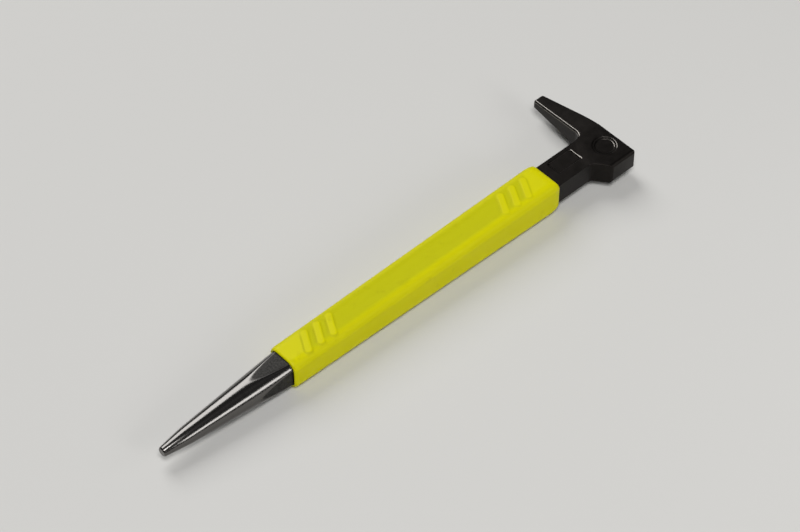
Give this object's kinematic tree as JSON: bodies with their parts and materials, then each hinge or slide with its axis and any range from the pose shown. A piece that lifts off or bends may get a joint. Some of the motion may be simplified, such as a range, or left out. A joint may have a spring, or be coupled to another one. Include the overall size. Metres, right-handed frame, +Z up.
{
  "type": "beaked nail set",
  "caption": "Forged steel nail set: conical punch, square shank, and a head with a side beak opposite a square striking poll, in a tapered soft grip sleeve.",
  "frame": {"origin": "on the sleeve's flat underside, midway along the sleeve and below the bar's axis; the part lies on this face", "axes": "+X along the sleeve's underside from the punch to the head, +Y towards the beak, +Z up, away from the face it lies on"},
  "size_m": [0.15, 0.0322, 0.0109],
  "materials": {
    "forged_steel": "blackened forging, ground bright at the punch",
    "soft_pvc": "satin moulded soft PVC"
  },
  "bodies": {
    "root": {"forged_bar": "forged_steel", "grip_sleeve": "soft_pvc"}
  },
  "joints": []
}
